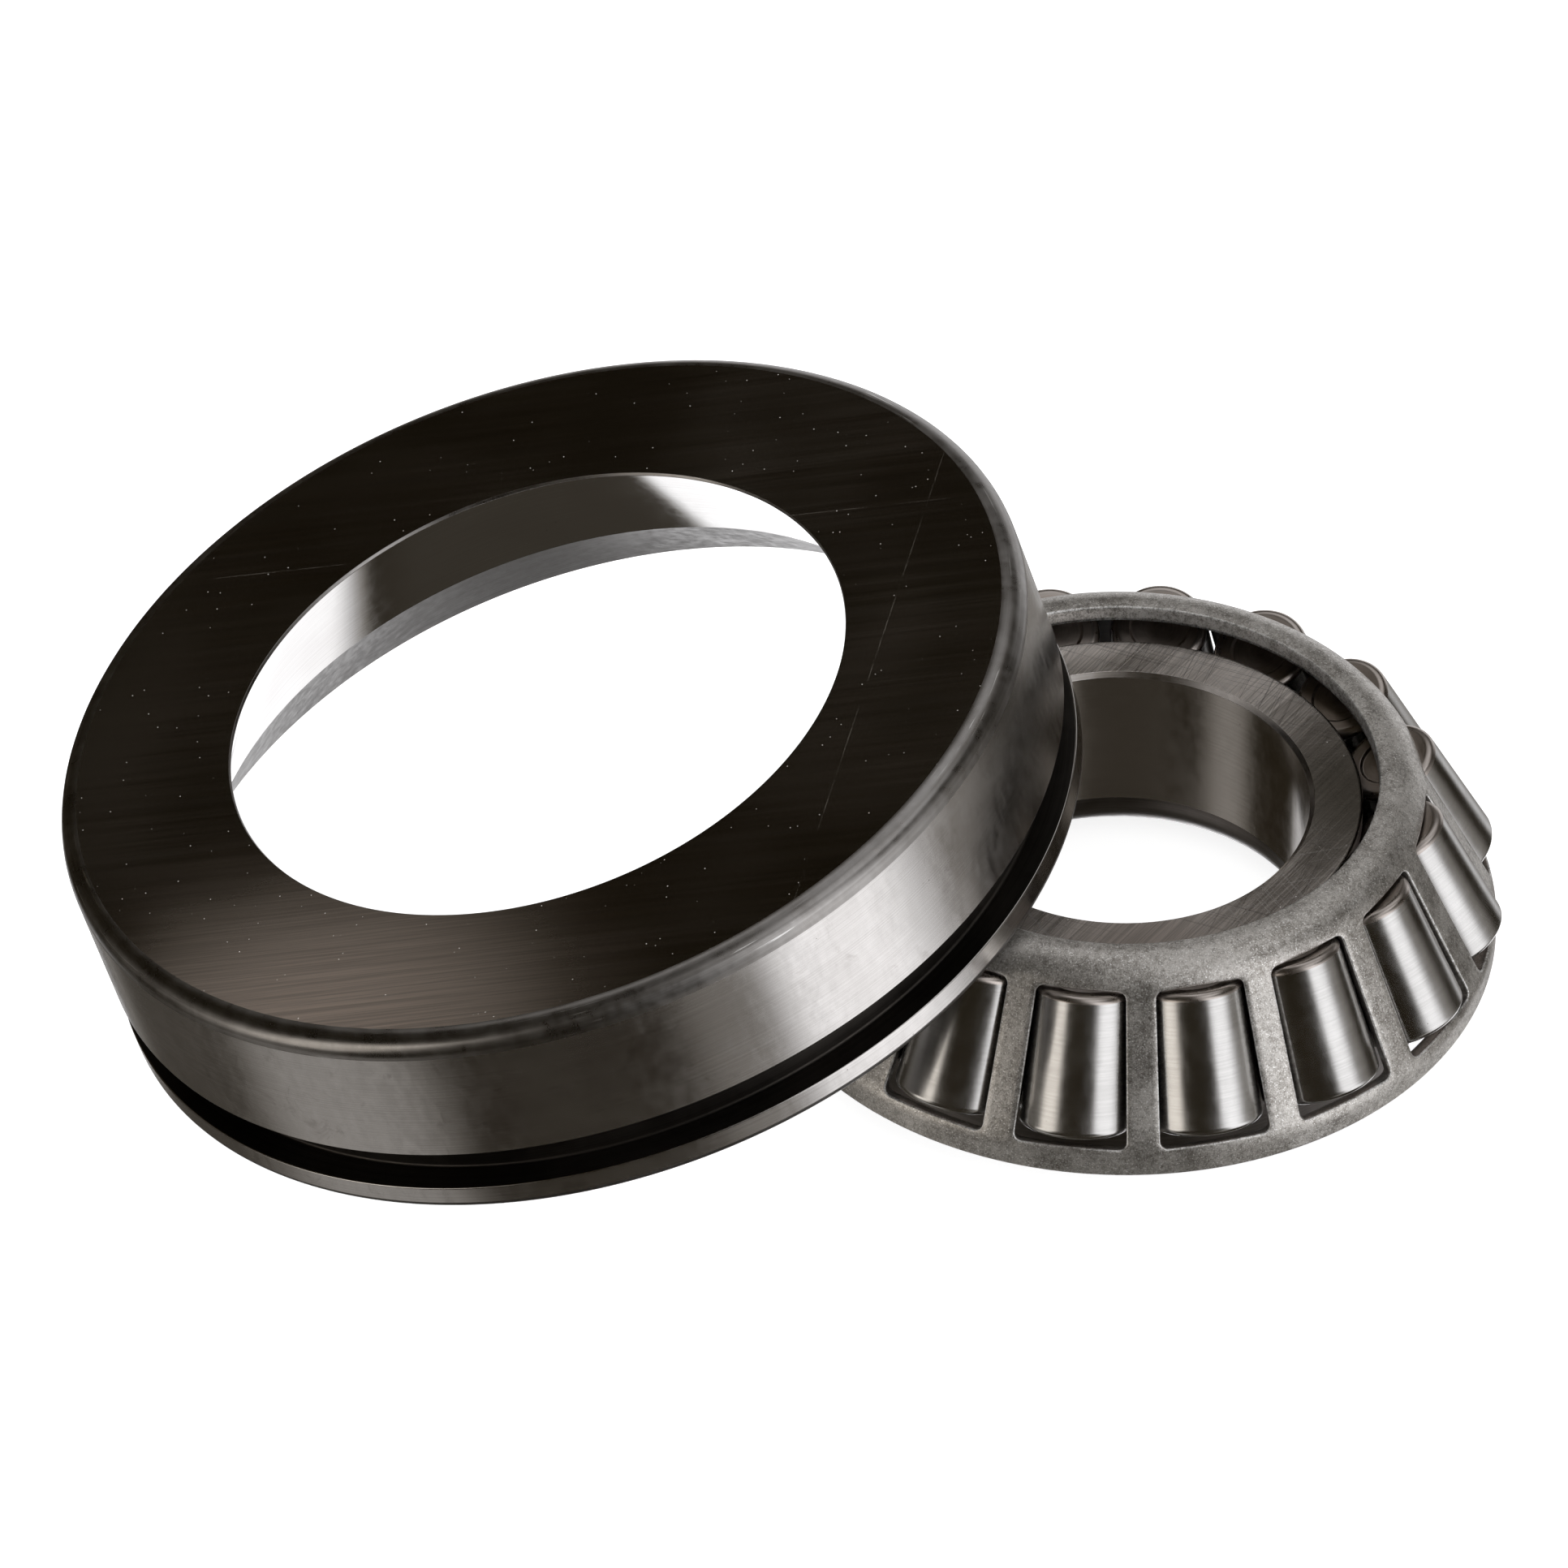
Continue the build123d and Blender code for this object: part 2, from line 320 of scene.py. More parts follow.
def outline_points(outline, closed=True):
    """Rounds an outline of (radius, height, rounding, finish).

    Lists (point, finish of the span after it). Each rounding has a close point on both sides,
    so that smooth shading stays on the arc.
    """
    made = []
    count = len(outline)
    for k, (r, z, rounding, finish) in enumerate(outline):
        if not closed and k in (0, count - 1):
            made.append((Vector((r, z)), finish))
            continue
        before, after = outline[k - 1], outline[(k + 1) % count]
        here = Vector((r, z))
        if (Vector(before[:2]) - here).angle(Vector(after[:2]) - here) > STRAIGHT:
            made.append((here, finish))
            continue
        steps = 10 if rounding > 1 else (6 if rounding > 0.25 else 3)
        arc = fillet(before, here, after, max(rounding, LEAST_ROUNDING), steps)
        lead_in = arc[0] + (Vector(before[:2]) - arc[0]).normalized() * GUARD
        lead_out = arc[-1] + (Vector(after[:2]) - arc[-1]).normalized() * GUARD
        edge_finish = before[3] if rounding <= LEAST_ROUNDING else finish
        made.append((lead_in, before[3]))
        made += [(p, edge_finish) for p in arc[:-1]]
        made.append((arc[-1], finish))
        made.append((lead_out, finish))
    return made


def new_object(name, verts, faces, marks, materials, place, body, node, slot):
    """A piece from vertices in its own millimetres, put in place in its vertices."""
    mesh = bpy.data.meshes.new(name)
    mesh.from_pydata([place @ (Vector(v) * MM) for v in verts], [], faces)
    for material in materials:
        mesh.materials.append(material)
    mesh.polygons.foreach_set("material_index", marks)
    own = mesh.attributes.new("own_mm", "FLOAT_VECTOR", "POINT")
    own.data.foreach_set("vector", [c for v in verts for c in v])
    ring = mesh.uv_layers.new(name="ring")
    for face in mesh.polygons:
        points = [verts[mesh.loops[corner].vertex_index] for corner in face.loop_indices]
        turns = [math.atan2(y, x) / (2 * math.pi) for x, y, _ in points]
        for corner, turn, (x, y, z) in zip(face.loop_indices, turns, points):
            if turn < max(turns) - 0.5:
                turn += 1
            ring.data[corner].uv = (turn, (math.hypot(x, y) - z) / RING_UV_HEIGHT)
    outward = bmesh.new()
    outward.from_mesh(mesh)
    bmesh.ops.recalc_face_normals(outward, faces=outward.faces)
    outward.to_mesh(mesh)
    outward.free()
    mesh.shade_smooth()
    piece = bpy.data.objects.new(name, mesh)
    bpy.context.collection.objects.link(piece)
    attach(piece, body)
    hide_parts(node)
    return piece


def lathe(outline, segments, closed=True):
    """Vertices, faces and finish marks of an outline turned about Z."""
    profile = outline_points(outline, closed)
    verts, rows = [], []
    for point, _ in profile:
        if point.x < 1e-6:
            rows.append([len(verts)] * segments)
            verts.append((0, 0, point.y))
            continue
        rows.append(list(range(len(verts), len(verts) + segments)))
        for k in range(segments):
            turn = 2 * math.pi * k / segments
            verts.append((point.x * math.cos(turn), point.x * math.sin(turn), point.y))
    faces, marks = [], []
    pairs = len(rows) if closed else len(rows) - 1
    for k in range(pairs):
        low, high = rows[k], rows[(k + 1) % len(rows)]
        for s in range(segments):
            t = (s + 1) % segments
            corners = [low[s], low[t], high[t], high[s]]
            faces.append([c for n, c in enumerate(corners) if c not in corners[:n]])
            marks.append(profile[k][1])
    return verts, faces, marks


def axis_place(origin, axis, spin=0.0):
    """Frame at origin whose Z is the leaning axis; its X lies in the plane of the axis and world Z."""
    z = Vector(axis).normalized()
    y = Vector((0, 0, 1)).cross(z).normalized()
    x = y.cross(z)
    turn = Matrix((x, y, z)).transposed().to_4x4()
    return Matrix.Translation(Vector(origin)) @ turn @ Matrix.Rotation(spin, 4, "Z")


# ---------------------------------------------------------------- sizes, as in the CAD source (mm)
# roller set
RACE_ANGLE = math.radians(27.5)      # half-angle of the cup's race
HALF_ANGLE = math.radians(4.0)       # half-angle of a roller
TILT = RACE_ANGLE - HALF_ANGLE
MID_HEIGHT = 15.45                   # a roller's middle above the cone's back face
ENVELOPE_RADIUS = 38.86              # outside of the roller set at that height
APEX = ENVELOPE_RADIUS / math.tan(RACE_ANGLE) / math.cos(TILT)
MID_RADIUS = APEX * math.sin(TILT)
HALF = 15.6 / 2                      # half a roller's length
ROLLER_CORNER = 0.8
DIMPLE_RADIUS, DIMPLE_DEPTH = 3.0, 0.25
RACE_CLEARANCE = 0.02

# cone
CONE_WIDTH = 23.5
BORE = 20.0
BACK_CORNER = 6.0
BORE_CHAMFER = 0.5
LARGE_RIB, SMALL_RIB = 33.6, 25.65
RIB_EDGE = 0.4
UNDERCUT_DEPTH, UNDERCUT_WIDTH = 0.3, 0.9
LARGE_RIB_CLEARANCE, SMALL_RIB_CLEARANCE = 0.25, 0.3

# cup, with depths from its back face
CUP_RADIUS, CUP_WIDTH = 53.5, 24.2
CUP_BORE, CUP_CHAMFER = 33.9, 0.3
CUP_CORNER = 2.2
BLEND_DEPTH = 2.6                    # the corner's finish runs on to this depth
CUP_SLOPE = math.tan(RACE_ANGLE)
RACE_DEPTH = 14.85
GROOVE_START, GROOVE_END, GROOVE_FLOOR = 16.4, 21.2, 50.2
FRONT_BORE, FRONT_EDGE = 48.6, 0.9

# cage
SHEET = 1.8
WALL = math.radians(26.5)
WALL_MID = Vector((36.2, 16.45))     # outside of the wall at the middle of a pocket
LIP_R, LIP_Z, LIP_BEND = 27.35, 26.7, 4.5
RIM_R, RIM_Z, RIM_BEND = 40.25, 5.35, 4.0
POCKET_UP, POCKET_DOWN = 8.75, 8.5   # pocket's middle to its ends, along the wall
POCKET_TOP, POCKET_FOOT = 4.72, 6.03     # half-widths of its ends
POCKET_CORNER = 0.9
POCKETS = 16
FIRST = math.radians(-98.6)          # azimuth of the first pocket
EDGE = 0.16                          # rolled-over edge of a pocket
INSIDE_GROWTH = 0.45                 # how much wider a pocket is at the inner skin
BREAK = 0.18                         # broken edge of the lip and the rim


def beside(station, offset):
    """Radius and height beside a roller, from the cone's back face."""
    return (MID_RADIUS - station * math.sin(TILT) + offset * math.cos(TILT),
            MID_HEIGHT + station * math.cos(TILT) + offset * math.sin(TILT))


def half_thickness(station):
    """Distance from a roller's axis to either race."""
    return (APEX - station) * math.tan(HALF_ANGLE)


# ---------------------------------------------------------------- finishes
# The cup face's dull spot at (25, 52) is rougher, and its light colour is a painted sheen.
cup_face = ground_face("cup_ground_face", rgb(0.20, 0.18, 0.15), rgb(0.32, 0.29, 0.25), 99, 3.2,
                       0.16, 0.24, 0.03, lines=0.003, dull=((25, 52, 46, rgb(0.88, 0.75, 0.65), 0.5),),
                       hairlines=((100, 24.0), (14, -38.0)))
cup_side = turned_steel("cup_ground_side", rgb(0.50, 0.48, 0.46), rgb(0.64, 0.62, 0.60), 0.16, 0.26,
                        lines=0.0012, cloud=2.0, cloud_scale=0.06, stains=0.25)
cup_corner = turned_steel("cup_corner", rgb(0.27, 0.255, 0.24), rgb(0.42, 0.405, 0.39), 0.26, 0.36,
                          lines=0.002, line_scale=2.5, cloud=1.5, cloud_scale=0.2, nicks=1.0, dots=False)
cup_groove = turned_steel("cup_groove", rgb(0.05, 0.045, 0.04), rgb(0.10, 0.09, 0.08), 0.4, 0.55,
                          anisotropy=0.0)
cup_race = turned_steel("cup_race", rgb(0.60, 0.58, 0.56), rgb(0.70, 0.69, 0.67), 0.06, 0.11,
                        lines=0.0004, cloud=1.2)
cup_relief = turned_steel("cup_relief", rgb(0.18, 0.17, 0.16), rgb(0.28, 0.27, 0.26), 0.36, 0.50,
                          lines=0.006, line_scale=3.0)
# The cone face's dull spots: a darker one towards its right, and one with fainter lines on its near side.
cone_face = ground_face("cone_ground_face", rgb(0.34, 0.31, 0.28), rgb(0.92, 0.86, 0.81), 35, 5.0,
                        0.24, 0.4, 0.06, lines=0.008, crossing=(20, 75, 112, 150),
                        dull=((26, 1, 20, rgb(0.2, 0.18, 0.15), 0.25),
                              (2, -26, 15, rgb(0.62, 0.55, 0.5), 0.4)))
cone_bore = turned_steel("cone_bore", rgb(0.52, 0.49, 0.46), rgb(0.64, 0.61, 0.58), 0.15, 0.24, lines=0.0016,
                         line_scale=4.0, cloud=1.5)
# Painted shade: the cone's ribs and back face, down in the gaps under the cage, get a dark colour for the
# shade there.
cone_rib_painted_shade = turned_steel("cone_rib_painted_shade", rgb(0.14, 0.13, 0.12), rgb(0.24, 0.22, 0.21), 0.28, 0.40, lines=0.003,
                        line_scale=3.0, dots=False)
roller_side = turned_steel("roller_polished", rgb(0.53, 0.52, 0.505), rgb(0.62, 0.61, 0.595), 0.18, 0.25,
                           lines=0.0007, line_scale=4.5, cloud=0.8, cloud_scale=0.12)
roller_end = turned_steel("roller_end", rgb(0.5, 0.44, 0.39), rgb(0.62, 0.55, 0.5), 0.3, 0.42, lines=0.0008,
                          line_scale=5.0, dots=False)
roller_corner = turned_steel("roller_corner", rgb(0.5, 0.45, 0.41), rgb(0.62, 0.57, 0.53), 0.26, 0.34,
                             lines=0.0006, line_scale=5.0, dots=False)
cage_skin = pressed_sheet("cage_pressed", rgb(0.26, 0.24, 0.215), rgb(0.66, 0.635, 0.6), glint=0.95)
# Sheared edges of bare steel; their near-white colour and strong glints are partly a painted highlight of
# the light the rolled edges catch.
cage_shear_and_highlight = pressed_sheet("cage_sheared_painted_highlight", rgb(0.3, 0.29, 0.27), rgb(1.0, 0.99, 0.97), torn=2.5, glint=1.0)
# Painted shade: the pocket walls down beside the rollers get a dark copy of the cage steel.
cage_wall_painted_shade = pressed_sheet("cage_pocket_wall_painted_shade", rgb(0.16, 0.15, 0.14), rgb(0.32, 0.3, 0.28), torn=1.5,
                          glint=0.3)
# Painted shade: the cage's inner skin, in the shaded gap over the rollers, gets a near-black colour.
cage_inside_painted_shade = turned_steel("cage_inside_painted_shade", rgb(0.09, 0.08, 0.07), rgb(0.16, 0.15, 0.14), 0.4, 0.55,
                           lines=0.004, line_scale=2.0, anisotropy=0.0, dots=False)

# ---------------------------------------------------------------- cup
def cup():
    """The outer ring, its origin in the middle of its back face."""
    face, side, corner, groove, race, relief = range(6)
    outline = [
        (CUP_BORE + CUP_CHAMFER * CUP_SLOPE, -CUP_CHAMFER, 0.05, corner),
        (CUP_BORE + CUP_CHAMFER, 0.0, 0.05, face),
        (CUP_RADIUS, 0.0, CUP_CORNER, corner),
        (CUP_RADIUS, -BLEND_DEPTH, 0.05, side),
        (CUP_RADIUS, -GROOVE_START, 0.12, groove),
        (GROOVE_FLOOR, -GROOVE_START, 0.3, groove),
        (GROOVE_FLOOR, -GROOVE_END, 0.3, groove),
        (CUP_RADIUS, -GROOVE_END, 0.15, side),
        (CUP_RADIUS, -CUP_WIDTH, FRONT_EDGE, relief),
        (FRONT_BORE, -CUP_WIDTH, 0.1, relief),
        (CUP_BORE + RACE_DEPTH * CUP_SLOPE, -RACE_DEPTH, 0.05, race),
    ]
    finishes = [cup_face, cup_side, cup_corner, cup_groove, cup_race, cup_relief]
    axis = Vector(MOUNTS["cup_back_face"]["axis"])
    outside_depth = (CUP_CORNER + GROOVE_START) / 2
    origin = Vector(MOUNTS["cup_od"]["pos_m"]) + axis * outside_depth * MM
    place = axis_place(origin, axis)
    new_object("cup_ring", *lathe(outline, 288), finishes, place, "cup", "cup", "cup_steel")


cup()

# ---------------------------------------------------------------- cone
CONE_PLACE = Matrix.Translation((0, 0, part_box("cone")[0][2]))


def cone():
    """The inner ring, its back face at height 0."""
    face, bore, rib, raceway = range(4)
    large_end, small_end = -HALF - LARGE_RIB_CLEARANCE, HALF + SMALL_RIB_CLEARANCE
    race_start = UNDERCUT_WIDTH + UNDERCUT_DEPTH

    def shoulder(station, radius):
        r, z = beside(station, 0)
        return z + (radius - r) * math.tan(TILT)

    def race(station, depth=0.0):
        return beside(station, -half_thickness(station) - depth)

    outline = [
        (BORE, 0.0, BACK_CORNER, rib),
        (LARGE_RIB, 0.0, RIB_EDGE, rib),
        (LARGE_RIB, shoulder(large_end, LARGE_RIB), RIB_EDGE, rib),
        (*race(large_end, UNDERCUT_DEPTH), 0.06, rib),
        (*race(UNDERCUT_WIDTH - HALF, UNDERCUT_DEPTH), 0.06, raceway),
        (*race(race_start - HALF), 0.06, raceway),
        (*race(HALF - race_start), 0.06, raceway),
        (*race(HALF - UNDERCUT_WIDTH, UNDERCUT_DEPTH), 0.06, rib),
        (*race(small_end, UNDERCUT_DEPTH), 0.06, rib),
        (SMALL_RIB, shoulder(small_end, SMALL_RIB), 0.06, rib),
        (SMALL_RIB, CONE_WIDTH, RIB_EDGE, face),
        (BORE + BORE_CHAMFER, CONE_WIDTH, 0.06, bore),
        (BORE, CONE_WIDTH - BORE_CHAMFER, 0.06, bore),
    ]
    finishes = [cone_face, cone_bore, cone_rib_painted_shade, roller_side]
    new_object("cone_ring", *lathe(outline, 224), finishes, CONE_PLACE, "cone", "cone", "ring_steel")


cone()


# ---------------------------------------------------------------- rollers
def rollers():
    """One mesh, its origin in a roller's middle, placed at every roller's joint."""
    side, end, corner = range(3)
    small = half_thickness(HALF) - RACE_CLEARANCE
    large = half_thickness(-HALF) - RACE_CLEARANCE
    floor = HALF - DIMPLE_DEPTH
    lip = DIMPLE_RADIUS + DIMPLE_DEPTH
    corner_end = small - ROLLER_CORNER - 0.15
    outline = [
        (0.0, -floor, 0, end),
        (DIMPLE_RADIUS, -floor, 0.1, end),
        (lip, -HALF, 0.1, end),
        (large, -HALF, ROLLER_CORNER, side),
        (small, HALF, ROLLER_CORNER, corner),
        (corner_end, HALF, 0.0, end),
        (lip, HALF, 0.1, end),
        (DIMPLE_RADIUS, floor, 0.1, end),
        (0.0, floor, 0, end),
    ]
    mesh = lathe(outline, 112, closed=False)
    finishes = [roller_side, roller_end, roller_corner]
    rng = random.Random(7)
    for node in sorted(name for name in frame["nodes"] if name.startswith("roller_")):
        joint = JOINTS[node + "_spin"]
        place = axis_place(joint["pos_m"], joint["axis"], rng.uniform(0, 2 * math.pi))
        new_object(node + "_body", *mesh, finishes, place, node, node, "roller_steel")


rollers()


# ---------------------------------------------------------------- cage
def wall_r(z):
    return WALL_MID.x + (WALL_MID.y - z) * math.tan(WALL)


LIP_STEPS, RIM_STEPS, ARC_STEPS = 16, 8, 6       # spans of the two bends and of a pocket's corners
TOP_STEPS, SIDE_STEPS, FOOT_STEPS = 10, 14, 12   # spans of a pocket's sides
POCKET_RINGS, BEND_ROWS, RIM_ROWS = 3, 12, 9     # rows of faces round a pocket, on the bend, on the rim


def skin_path():
    """Outer skin of the cage from the lip's inner edge to the rim.

    Gives its points, the angles of their normals and their arc lengths.
    """
    top = (wall_r(LIP_Z), LIP_Z)
    foot = (RIM_R, WALL_MID.y - (RIM_R - WALL_MID.x) / math.tan(WALL))
    bend = fillet((LIP_R, LIP_Z), top, foot, LIP_BEND, LIP_STEPS)
    flare = fillet(top, foot, (RIM_R, RIM_Z), RIM_BEND, RIM_STEPS)
    points = [Vector((LIP_R, LIP_Z))] + bend + flare + [Vector((RIM_R, RIM_Z))]
    up = math.pi / 2
    turns = [up] + [up + (WALL - up) * k / LIP_STEPS for k in range(LIP_STEPS + 1)]
    turns += [WALL - WALL * k / RIM_STEPS for k in range(RIM_STEPS + 1)] + [0.0]
    lengths = [0.0]
    for a, b in zip(points, points[1:]):
        lengths.append(lengths[-1] + (b - a).length)
    return points, turns, lengths


SKIN, TURNS, LENGTHS = skin_path()
WALL_START = LIP_STEPS + 1           # the skin point where the wall begins
MID_S = LENGTHS[WALL_START] + (WALL_MID - SKIN[WALL_START]).length


def skin(s, depth=0.0):
    """Radius and height at arc length s, sunk below the outer skin by depth."""
    s = min(max(s, 0.0), LENGTHS[-1])
    k = 0
    while k < len(LENGTHS) - 2 and s > LENGTHS[k + 1]:
        k += 1
    share = (s - LENGTHS[k]) / max(LENGTHS[k + 1] - LENGTHS[k], 1e-9)
    point = SKIN[k].lerp(SKIN[k + 1], share)
    turn = TURNS[k] + (TURNS[k + 1] - TURNS[k]) * share
    return point.x - depth * math.cos(turn), point.y - depth * math.sin(turn)


def pocket_loop():
    """Pocket outline in the punch's plane, as (down the wall, across), and each point's place in it.

    It starts at the top left corner's arc and runs down the left side.
    """
    corners = [(-POCKET_UP, -POCKET_TOP), (POCKET_DOWN, -POCKET_FOOT),
               (POCKET_DOWN, POCKET_FOOT), (-POCKET_UP, POCKET_TOP)]
    arcs = [fillet(corners[k - 1], corners[k], corners[(k + 1) % 4], POCKET_CORNER, ARC_STEPS)
            for k in range(4)]
    points, places = [], []
    for k, count in enumerate((SIDE_STEPS, FOOT_STEPS, SIDE_STEPS, TOP_STEPS)):
        points += arcs[k]
        places += [("arc", k, n / ARC_STEPS) for n in range(ARC_STEPS + 1)]
        start, end = arcs[k][-1], arcs[(k + 1) % 4][0]
        points += [start.lerp(end, n / count) for n in range(1, count)]
        places += [("side", k, n / count) for n in range(1, count)]
    return points, places


LOOP, PLACES = pocket_loop()
POCKET_FRAME = 0.75                  # sheet between a pocket's ends and the strips of lip and rim
STRIP_TOP = MID_S - POCKET_UP - POCKET_FRAME
STRIP_FOOT = MID_S + POCKET_DOWN + POCKET_FRAME
HALF_PITCH = math.pi / POCKETS


def frame_point(kind, k, share):
    """Where a loop point lands on the sector's rectangle: (arc length, azimuth)."""
    box = [(STRIP_TOP, -HALF_PITCH), (STRIP_FOOT, -HALF_PITCH),
           (STRIP_FOOT, HALF_PITCH), (STRIP_TOP, HALF_PITCH)]
    inset = 0.12    # share of a side that belongs to each corner's arc
    here, before, after = Vector(box[k]), Vector(box[k - 1]), Vector(box[(k + 1) % 4])
    if kind == "arc":
        if share <= 0.5:
            return here.lerp(before, inset * (1 - share * 2))
        return here.lerp(after, inset * (share * 2 - 1))
    start, end = here.lerp(after, inset), after.lerp(here, inset)
    return start.lerp(end, share)


def on_wall(p, q, depth):
    """Arc length and azimuth of a punch-plane point on the skin at a depth."""
    s = p
    for _ in range(4):
        r = skin(MID_S + s, depth)[0]
        azimuth = math.asin(max(-0.99, min(0.99, q / r)))
        s = p + r * (1 - math.cos(azimuth)) * math.sin(WALL)
    return Vector((MID_S + s, azimuth))


def grown(index, amount):
    """Loop point pushed outwards from the hole."""
    before, after = LOOP[index - 1], LOOP[(index + 1) % len(LOOP)]
    along = (after - before).normalized()
    return LOOP[index] + Vector((along.y, -along.x)) * amount


def strip_columns(edge):
    """Azimuths of the loop's points that land on one edge of the sector."""
    landed = [frame_point(*place) for place in PLACES]
    return sorted({round(at.y, 9) for at in landed if abs(at.x - edge) < 1e-6})


def cage_mesh():
    """The cage's sheet as one closed mesh, sector by sector."""
    outer_skin, shear, inner_skin, wall = range(4)
    verts, faces, marks, index_of = [], [], [], {}
    full_turn = 2 * math.pi
    bend_start, rim_end = LENGTHS[1], LENGTHS[-1]

    def vertex(s, azimuth, depth):
        """Number of the vertex at a place in the sheet; faces that meet there share it."""
        key = (round(s, 4), round(azimuth % full_turn, 6) % round(full_turn, 6), round(depth, 3))
        if key not in index_of:
            r, z = skin(s, depth)
            index_of[key] = len(verts)
            verts.append((r * math.cos(azimuth), r * math.sin(azimuth), z))
        return index_of[key]

    def quad(corners, mark, flip):
        unique = list(dict.fromkeys(corners[::-1] if flip else corners))
        if len(unique) > 2:
            faces.append(unique)
            marks.append(mark)

    def band(low, high, mark, flip):
        """Faces between two rows of vertices round a pocket."""
        for n in range(len(low)):
            m = (n + 1) % len(low)
            quad((low[n], low[m], high[m], high[n]), mark, flip)

    def strip(rows, columns, centre, mark, flip):
        """Faces between rows of (arc length, depth), across a sector's columns."""
        for (s0, d0), (s1, d1) in zip(rows, rows[1:]):
            for a0, a1 in zip(columns, columns[1:]):
                quad((vertex(s0, centre + a0, d0), vertex(s1, centre + a0, d1),
                      vertex(s1, centre + a1, d1), vertex(s0, centre + a1, d0)), mark, flip)

    def pocket_row(grow, depth):
        """The pocket's outline, grown, on the skin at a depth."""
        points = [grown(n, grow) for n in range(len(LOOP))]
        return [on_wall(point.x, point.y, depth) for point in points]

    def numbered(row, centre, depth):
        return [vertex(at.x, centre + at.y, depth) for at in row]

    landed = [frame_point(*place) for place in PLACES]
    top_columns, foot_columns = strip_columns(STRIP_TOP), strip_columns(STRIP_FOOT)
    lip_rows = [0.3, 0.9, bend_start * 0.98]
    lip_rows += [bend_start + (STRIP_TOP - bend_start) * k / BEND_ROWS for k in range(BEND_ROWS + 1)]
    rim_rows = [STRIP_FOOT + (rim_end - STRIP_FOOT) * k / RIM_ROWS for k in range(RIM_ROWS)]
    rim_rows.append(rim_end - 0.3)
    # depth, growth of the pocket, trim at lip and rim, finish, whether it faces inwards
    skins = [(0.0, EDGE, BREAK, outer_skin, False), (SHEET, INSIDE_GROWTH, 0.0, inner_skin, True)]
    # growth and depth: the rolled-over edge, the sheared face and the room round the roller
    pocket_wall = [(EDGE, 0.0), (EDGE * 0.35, 0.05), (0.0, 0.16), (0.0, 0.55), (0.1, 1.15), (0.3, 1.62),
                   (INSIDE_GROWTH, SHEET)]
    # distance from the edge and depth: the broken edge of the lip and the rim
    sheet_edge = [(BREAK, 0.0), (BREAK * 0.3, BREAK * 0.3), (0.0, BREAK), (0.0, 0.5), (0.0, 1.0),
                  (0.0, 1.4), (0.0, SHEET)]
    skin_rows = [pocket_row(grow, depth) for depth, grow, *_ in skins]
    wall_rows = [pocket_row(grow, depth) for grow, depth in pocket_wall]
    for sector in range(POCKETS):
        centre = FIRST + sector * 2 * HALF_PITCH
        for edge, (depth, _, trim, mark, flip) in zip(skin_rows, skins):
            levels = []
            for ring in range(POCKET_RINGS + 1):
                row = [at.lerp(out, ring / POCKET_RINGS) for at, out in zip(edge, landed)]
                levels.append(numbered(row, centre, depth))
            for low, high in zip(levels, levels[1:]):
                band(low, high, mark, flip)
            strip([(s, depth) for s in [trim] + lip_rows], top_columns, centre, mark, flip)
            strip([(s, depth) for s in rim_rows + [rim_end - trim]], foot_columns, centre, mark, flip)
        walls = [numbered(row, centre, depth) for row, (_, depth) in zip(wall_rows, pocket_wall)]
        for k, (low, high) in enumerate(zip(walls, walls[1:])):
            # the deeper pocket walls take the dark finish, a painted shade
            band(low, high, shear if k < 2 else wall, True)
        strip(sheet_edge, top_columns, centre, shear, True)
        strip([(rim_end - inset, depth) for inset, depth in sheet_edge], foot_columns, centre, shear, False)
    return verts, faces, marks


def cage():
    """The pressed cage, its origin in the cone's back face."""
    finishes = [cage_skin, cage_shear_and_highlight, cage_inside_painted_shade, cage_wall_painted_shade]
    new_object("cage_sheet", *cage_mesh(), finishes, CONE_PLACE, "cage", "cage", "cage_steel")


cage()

# ---------------------------------------------------------------- floor
FLOOR_GLOW = 1.75       # keeps the ground white under the bearing, as a lit table does


def pale_floor():
    """A wide white bench that rays of reflection pass through."""
    reach = 3.0
    corners = [(x * reach, y * reach, FLOOR_Z) for x, y in ((-1, -1), (1, -1), (1, 1), (-1, 1))]
    mesh = bpy.data.meshes.new("floor")
    mesh.from_pydata(corners, [], [(0, 1, 2, 3)])
    floor = bpy.data.objects.new("floor", mesh)
    bpy.context.collection.objects.link(floor)
    material, tree = new_material("floor_white")
    place = add(tree, "TexCoord").outputs["Object"]
    tone = mix_colour(tree, noise(tree, place, 9.0, 3.0), rgb(0.47, 0.47, 0.47), rgb(0.5, 0.5, 0.5))
    shader = add(tree, "BsdfPrincipled", {"Base Color": tone, "Roughness": 0.9, "Specular IOR Level": 0.0,
                                          "Emission Color": tone, "Emission Strength": FLOOR_GLOW})
    add(tree, "OutputMaterial", {"Surface": shader})
    mesh.materials.append(material)
    floor.visible_glossy = False


pale_floor()


# ---------------------------------------------------------------- studio light
STEEL = 0.62         # how much of the studio a polished piece gives back


